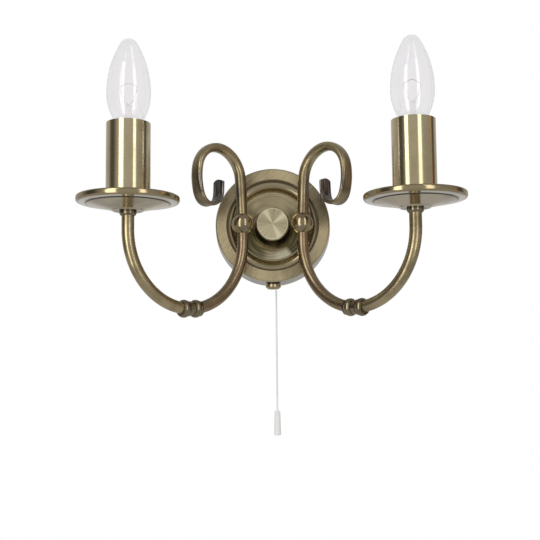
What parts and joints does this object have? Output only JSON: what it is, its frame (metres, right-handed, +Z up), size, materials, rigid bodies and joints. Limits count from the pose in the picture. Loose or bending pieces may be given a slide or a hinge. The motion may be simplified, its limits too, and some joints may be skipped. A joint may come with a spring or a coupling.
{
  "type": "double arm wall sconce",
  "caption": "Wall light with a round stepped back plate, curved tube arms with flattened scrolls, drip pans, candle sleeves and bulbs, and a pull cord switch.",
  "frame": {"origin": "the middle of the back plate, on the wall plane", "axes": "+Z up, -Y out of the wall into the room, +X to the right as seen from the room"},
  "size_m": [0.3068, 0.1659, 0.3251],
  "materials": {
    "antique_brass": "antique, satin to polished",
    "plain_brass": "machined",
    "zinc_steel": "zinc plated",
    "nickel_cap": "nickel plated",
    "clear_glass": "clear",
    "tungsten": "dull",
    "white_plastic": "smooth",
    "black_plastic": "matt",
    "white_cord": "braided",
    "flex_sheath": "smooth"
  },
  "bodies": {
    "fitting": {"back_plate": "antique_brass", "wall_bracket": "zinc_steel", "bracket_stud": "zinc_steel", "stud_nut": "zinc_steel", "earth_screw": "plain_brass", "terminal_block": "white_plastic", "terminal_screws": "zinc_steel", "switch_housing": "black_plastic", "switch_lock_nut": "zinc_steel", "switch_ferrule": "antique_brass", "stem_washers": "plain_brass", "stem_nuts": "plain_brass", "pan_nuts": "plain_brass", "switch_flex": "flex_sheath", "ball_left": "antique_brass", "ball_right": "antique_brass", "stem_left": "plain_brass", "stem_right": "plain_brass", "spacer_left": "antique_brass", "spacer_right": "antique_brass", "scroll_left": "antique_brass", "scroll_right": "antique_brass", "inner_arm_left": "antique_brass", "inner_arm_right": "antique_brass", "outer_arm_left": "antique_brass", "outer_arm_right": "antique_brass", "coupling_left": "antique_brass", "coupling_right": "antique_brass", "collar_left": "antique_brass", "collar_right": "antique_brass", "pan_left": "antique_brass", "pan_right": "antique_brass", "candle_sleeve_left": "antique_brass", "candle_sleeve_right": "antique_brass", "holder_stem_left": "plain_brass", "holder_stem_right": "plain_brass", "lampholder_left": "white_plastic", "lampholder_right": "white_plastic", "holder_shell_left": "plain_brass", "holder_shell_right": "plain_brass", "holder_contact_left": "plain_brass", "holder_contact_right": "plain_brass", "arm_flex_left": "flex_sheath", "arm_flex_right": "flex_sheath"},
    "knob": {"centre_knob": "antique_brass"},
    "switch_pull": {"switch_plunger": "white_plastic"},
    "cord": {"pull_cord": "white_cord", "cord_bob": "white_plastic", "cord_knot": "white_cord"},
    "bulb_left": {"bulb_glass_left": "clear_glass", "bulb_cap_left": "nickel_cap", "bulb_mount_left": "clear_glass", "filament_left": "tungsten"},
    "bulb_right": {"bulb_glass_right": "clear_glass", "bulb_cap_right": "nickel_cap", "bulb_mount_right": "clear_glass", "filament_right": "tungsten"}
  },
  "joints": [
    {"name": "knob_off", "type": "slide", "parent": "fitting", "child": "knob", "axis": [0, -1, 0], "range_m": [0, 0.02]},
    {"name": "switch_pull", "type": "slide", "parent": "fitting", "child": "switch_pull", "axis": [0, 0, -1], "range_m": [0, 0.007], "stiffness_N_per_m": 400, "springref_m": -0.002},
    {"name": "cord_swing", "type": "hinge", "parent": "switch_pull", "child": "cord", "pos_m": [0.0026, -0.015, -0.0576], "axis": [0, 1, 0], "range_deg": [-30, 30]},
    {"name": "bulb_left_out", "type": "slide", "parent": "fitting", "child": "bulb_left", "axis": [0, 0, 1], "range_m": [0, 0.035]},
    {"name": "bulb_right_out", "type": "slide", "parent": "fitting", "child": "bulb_right", "axis": [0, 0, 1], "range_m": [0, 0.035]}
  ]
}
